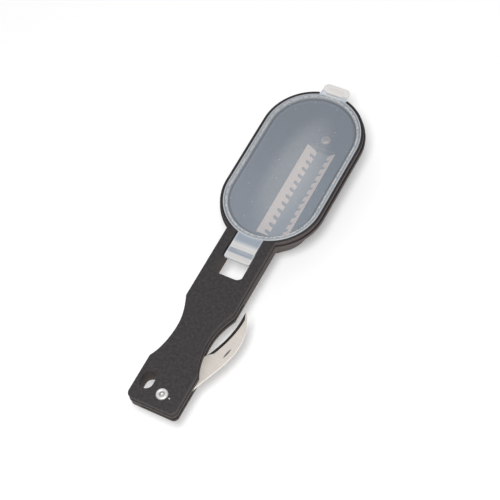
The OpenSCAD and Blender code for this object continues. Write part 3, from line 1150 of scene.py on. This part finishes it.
class SCALER_OT_lid(bpy.types.Operator):
    """Build the translucent lid with its clip-on tongue and its thumb tab"""

    bl_idname = "scaler.lid"
    bl_label = "Lid"

    def execute(self, context):
        s, colours = settings()
        low = -s.lid_thickness
        skirt_depth, skirt_r = 2.4, s.ledge - 0.3
        plate = slab("lid", round_ended(s.lid_radius, *s.run), low, 0, 0.15, 0.4)
        skirt = slab(
            "skirt", round_ended(skirt_r, *s.run), low - skirt_depth, low + 0.2, 0.3
        )
        cut(skirt, slab("skirt_tool", round_ended(skirt_r - 1.2, *s.run), -8, 2))
        # the tongue sits a little to the right of the middle
        tongue = block(
            "tongue", (-7.2, 7.9), (s.hinge_y - 2, -s.lid_run - s.lid_radius + 2), low, 0
        )
        ear_outline = round_box((-7.4, 8.2), (s.hinge_y - 4.8, s.hinge_y + 3), 1.2)
        ears = slab("ears", ear_outline, low, 0, 0.15, 0.3)
        clip = rod("clip", (0.3, s.hinge_y, s.hinge_z), s.hinge_bar + 1.21, "X", 15)
        tab_outline = round_box((-7.9, 7.9), (s.lid_end - 5, s.lid_end + 7.1), 2.8)
        tab = slab("tab", tab_outline, low, 0, 0.3, 0.4)
        weld(plate, skirt, tongue, ears, clip, tab)

        groove = slab("groove_tool", round_ended(s.ledge + 0.3, *s.run), -0.35, PAST)
        cut(groove, slab("inside", round_ended(s.ledge - 0.4, *s.run), -1, 2))
        bore_r = s.hinge_bar + RUNNING
        bore = rod("bore_tool", (0, s.hinge_y, s.hinge_z), bore_r, "X", 18)
        half = 0.75 * s.hinge_bar
        mouth = block(
            "mouth_tool", (-9, 9), (s.hinge_y - half, s.hinge_y + half),
            s.hinge_z - 6, s.hinge_z,
        )
        # the catch's pocket, with a thin skin left over it
        pocket = block(
            "slot_tool", (-s.catch_half, s.catch_half),
            (s.lid_end - 1.1, s.lid_end + 0.3), low - PAST, -0.38,
        )
        cut(plate, groove, bore, mouth, pocket)
        paint = milky_lid("milky_lid", s, colours)
        complete(plate, paint, "lid", "lid_plastic", "lid")
        return {"FINISHED"}


def ground_lines():
    """The knife's edge from its tip to its heel and the line where its grind starts."""
    edge = sweep(KNIFE_TIP, (15.2, 52), (13.2, 43), (7.8, 31.2), 20)
    width = 1.9
    grind = []
    for i in range(1, len(edge) - 1):
        along = (Vector(edge[i + 1]) - Vector(edge[i - 1])).normalized()
        inwards = width * min(1, i / 3, (len(edge) - 1 - i) / 2)
        grind.append(tuple(Vector(edge[i]) + inwards * Vector((-along.y, along.x))))
    return edge, grind


def knife_outline(line):
    """The knife without its ground strip: that line, the heel, tang and back."""
    heel = sweep((7.5, 30.6), (6.2, 27), (4, 23), (1, 20.5), 6)
    heel += [(-3.2, 17.4), (-4.6, 15.2), (-3.9, 12.6), (-3.1, 10.2), (-3, 8.2)]
    tang = [(-3.6, 6.2), (-4.6, 4.2)] + arc((0, 0), 6.2, 155, 318, 24)
    back = sweep((9.9, 5.4), (9.8, 12.5), (15.0, 20.0), (18.6, 30.7), 14)
    back += sweep((18.9, 31.7), (22.1, 42), (22.6, 51), (15.4, 61.8), 20)
    return line + heel + tang + back


def nick_outline():
    """The crescent that a fingernail catches, between two arcs."""
    (ax, ay, ar), (bx, by, br) = (28.5, 34.3, 12.0), (5.1, 39.5, 13.0)
    apart = math.hypot(bx - ax, by - ay)
    facing = math.degrees(math.atan2(by - ay, bx - ax))
    along = (ar * ar - br * br + apart * apart) / (2 * apart)
    spread_a = math.degrees(math.acos(along / ar))
    spread_b = math.degrees(math.acos((apart - along) / br))
    first = arc((ax, ay), ar, facing - spread_a, facing + spread_a, 12)
    second = arc((bx, by), br, facing + 180 - spread_b, facing + 180 + spread_b, 12)
    return first + second[1:-1]


class SCALER_OT_knife_blade(bpy.types.Operator):
    """Build the folding knife with its ground edge and nail nick"""

    bl_idname = "scaler.knife_blade"
    bl_label = "Knife blade"

    def execute(self, context):
        s, colours = settings()
        edge, grind = ground_lines()
        line = [edge[0], *grind, edge[-1]]
        high = -(s.shell_depth + 0.3)
        low = high - s.knife_thickness
        middle = (low + high) / 2
        near = 0.01
        piece = slab("knife_blade", knife_outline(line), low, high)

        def on_line(place, face):
            spots = [Vector((v.co.x, v.co.y)) / MM for v in face.verts]
            return abs(face.normal.z) < 0.1 and all(
                min((p - Vector(q)).length for q in line) < near for p in spots
            )

        def on_faces(place, edge):
            off = abs(abs(place.z - middle) - s.knife_thickness / 2)
            return off < near and edge.calc_face_angle(0) > math.radians(50)

        # draw the ground strip out to the edge and thin it
        edit(piece)
        pick(piece, "FACE", on_line)
        bpy.ops.mesh.extrude_region_move(TRANSFORM_OT_translate={"value": (0, 0, 0)})
        bpy.ops.transform.resize(value=(1, 1, 0.2), center_override=(0, 0, middle * MM))
        for (gx, gy), (ex, ey) in zip(grind, edge[1:-1]):
            found = pick(
                piece, "VERT",
                lambda p, v: abs(p.x - gx) < near and abs(p.y - gy) < near
                and abs(p.z - middle) < s.knife_thickness * 0.3,
            )
            if found != 2:
                raise RuntimeError(f"the ground edge has {found} points at {gx}, {gy}")
            bpy.ops.transform.translate(value=((ex - gx) * MM, (ey - gy) * MM, 0))
        outwards()
        soften(piece, on_faces, 0.12, 2)
        let_go()
        bore = rod("bore_tool", (0, 0, middle), s.shank + RUNNING, "Z", 8)
        nick = slab("nick_tool", nick_outline(), high - 0.4, high + PAST)
        cut(piece, bore, nick)
        moved(piece, s.pivot[0], s.pivot[1], 0)
        ground = (0.97, high)
        paint = brushed("satin_knife_steel", colours.knife_steel, "X", 0.44, 0.6, ground)
        complete(piece, paint, "knife", "knife_steel", "knife_blade", crisp=12)
        return {"FINISHED"}


class SCALER_OT_rivet(bpy.types.Operator):
    """Build the tubular rivet that the knife turns on"""

    bl_idname = "scaler.rivet"
    bl_label = "Rivet"

    def execute(self, context):
        s, colours = settings()
        head, shank, base = s.rivet_head, s.shank, -s.handle_depth
        roll = arc((head - 0.9, 0.02), 0.88, 0, 90, 8)
        profile = [
            (0, base - 0.8), (head - 0.6, base - 0.8), (head - 0.2, base - 0.68),
            (head, base - 0.4), (head, base), (shank, base), (shank, 0), (head, 0), *roll,
            (2.0, 0.88), (1.7, 0.74), (1.45, 0.5), (1.32, 0.1), (1.26, -0.5), (1.2, -1.2),
            (0.9, -1.36), (0, -1.4),
        ]
        piece = lathe("knife_rivet", profile, (*s.pivot, 0))
        # the bright end of a small pin in the moulding beside it
        pin = [(0, -0.3), (0.45, -0.3), (0.45, 0.02), (0.32, 0.18), (0, 0.24)]
        weld(piece, lathe("pin", pin, (7.7, s.pivot[1] - 0.6, 0), 16))
        paint = turned_metal("nickel_rivet", colours.nickel, s.pivot, 0.3, 0.5, 1.75)
        complete(piece, paint, "handle", "rivet_steel", "rivet")
        return {"FINISHED"}


class SCALER_OT_studio(bpy.types.Operator):
    """Lay the floor, hang the lights and set up the camera"""

    bl_idname = "scaler.studio"
    bl_label = "Studio"

    def execute(self, context):
        scene = context.scene
        studio = scene.scaler_studio
        self.lay_floor(studio)
        self.hang_lights(scene, studio)
        self.set_camera(scene, studio)
        return {"FINISHED"}

    def lay_floor(self, studio):
        """A pale floor just below the tool, seen only from above."""
        let_go()
        under_tool = (0, 0, -32.4 * MM)
        bpy.ops.mesh.primitive_grid_add(
            x_subdivisions=4, y_subdivisions=4, size=8, location=under_tool
        )
        floor = bpy.context.object
        floor.name = "studio_floor"
        matt = {"Roughness": 0.9, "Specular IOR Level": 0.1}
        finish = Finish("studio_floor", {**matt, "Emission Strength": studio.floor_glow})
        # no light gets in under the throat, between the tub and the floor
        x, y, _ = finish.millimetres()
        under = (1 - finish.between(abs(x), 9.5, 10.5)) * finish.band(y, -34, 33, 1)
        finish.wear(
            base_color=finish.blend(under, tuple(studio.floor_tone), (0.3, 0.3, 0.3)),
            emission_color=finish.blend(under, (1, 1, 1), (0, 0, 0)),
        )
        below = finish.node("ShaderNodeNewGeometry", output="Backfacing")
        clear = finish.node("ShaderNodeBsdfTransparent")
        solid = Wire(finish, finish.shader.outputs[0])
        seen = finish.node("ShaderNodeMixShader", None, {0: below, 1: solid, 2: clear})
        out = finish.tree.nodes["Material Output"]
        finish.tree.links.new(seen.socket, out.inputs["Surface"])
        floor.data.materials.append(finish.material)
        floor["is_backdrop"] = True

    def hang_lights(self, scene, studio):
        """A small key high over the handle and a weak fill from the other side."""
        let_go()
        # name, power, width in metres and place
        lights = (
            ("key_light", studio.key_power, 0.2, (0.21, -0.36, 0.78)),
            ("fill_light", studio.fill_power, 0.7, (-0.55, 0.45, 0.6)),
        )
        aim = Vector((0, -0.05, 0))
        for name, power, size, spot in lights:
            bpy.ops.object.light_add(type="AREA", location=spot)
            lamp = bpy.context.object
            lamp.name = name
            lamp.data.energy = power
            lamp.data.size = size
            lamp.rotation_euler = (Vector(spot) - aim).to_track_quat("Z", "Y").to_euler()
        world = scene.world = scene.world or bpy.data.worlds.new("studio")
        world.use_nodes = True
        sky = world.node_tree.nodes["Background"]
        sky.inputs["Color"].default_value = (1, 1, 1, 1)
        sky.inputs["Strength"].default_value = studio.sky
        scene.view_settings.view_transform = "Standard"
        scene.view_settings.look = "None"

    def set_camera(self, scene, studio):
        """A long lens, high to the right of the handle."""
        let_go()
        a, e, r = studio.azimuth, studio.elevation, studio.roll
        back = Vector((math.sin(a) * math.cos(e), -math.cos(a) * math.cos(e), math.sin(e)))
        right = Vector((math.cos(a), math.sin(a), 0))
        up = back.cross(right)
        across = math.cos(r) * right + math.sin(r) * up
        upward = -math.sin(r) * right + math.cos(r) * up
        turn = Matrix((across, upward, back)).transposed()
        bpy.ops.object.camera_add()
        camera = bpy.context.object
        camera.name = "studio_camera"
        camera.rotation_mode = "QUATERNION"
        camera.rotation_quaternion = turn.to_quaternion()
        handle_root = Vector((0, -56 * MM, 0))
        camera.location = handle_root + back * studio.distance
        camera.data.sensor_width = 36
        camera.data.lens = 115.1
        camera.data.shift_x = 0.0108
        camera.data.shift_y = -0.010
        camera.data.clip_start, camera.data.clip_end = 0.01, 50
        scene.camera = camera


class SCALER_PT_panel(bpy.types.Panel):
    """Sidebar panel with the tool's pieces in building order"""

    bl_idname = "SCALER_PT_panel"
    bl_label = "Fish Scaler"
    bl_space_type = "VIEW_3D"
    bl_region_type = "UI"
    bl_category = "Scaler"

    def draw(self, context):
        layout = self.layout
        for piece in PIECES:
            layout.operator(piece.bl_idname)
        for group in ("scaler_sizes", "scaler_colours", "scaler_studio"):
            box = layout.box()
            values = getattr(context.scene, group)
            for name in values.__annotations__:
                box.prop(values, name)


PIECES = (
    SCALER_OT_studio,
    SCALER_OT_upper_moulding,
    SCALER_OT_lower_moulding,
    SCALER_OT_blade_carrier,
    SCALER_OT_scraper_blades,
    SCALER_OT_carrier_screws,
    SCALER_OT_lid,
    SCALER_OT_knife_blade,
    SCALER_OT_rivet,
)
GROUPS = {
    "scaler_sizes": ScalerSizes,
    "scaler_colours": ScalerColours,
    "scaler_studio": ScalerStudio,
}
CLASSES = (*GROUPS.values(), *PIECES, SCALER_PT_panel)


def register():
    """Adds the settings, the operators and the panel."""
    for kind in CLASSES:
        bpy.utils.register_class(kind)
    for name, group in GROUPS.items():
        setattr(bpy.types.Scene, name, bpy.props.PointerProperty(type=group))


def unregister():
    """Takes them away again."""
    for name in GROUPS:
        delattr(bpy.types.Scene, name)
    for kind in reversed(CLASSES):
        bpy.utils.unregister_class(kind)


def corners():
    """The model's lowest and highest corner, as plain lists."""
    return [list(corner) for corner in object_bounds()]


def main():
    """Builds everything."""
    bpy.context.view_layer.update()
    register()
    for piece in PIECES:
        group, name = piece.bl_idname.split(".")
        getattr(getattr(bpy.ops, group), name)()


if __name__ == "__main__":
    main()
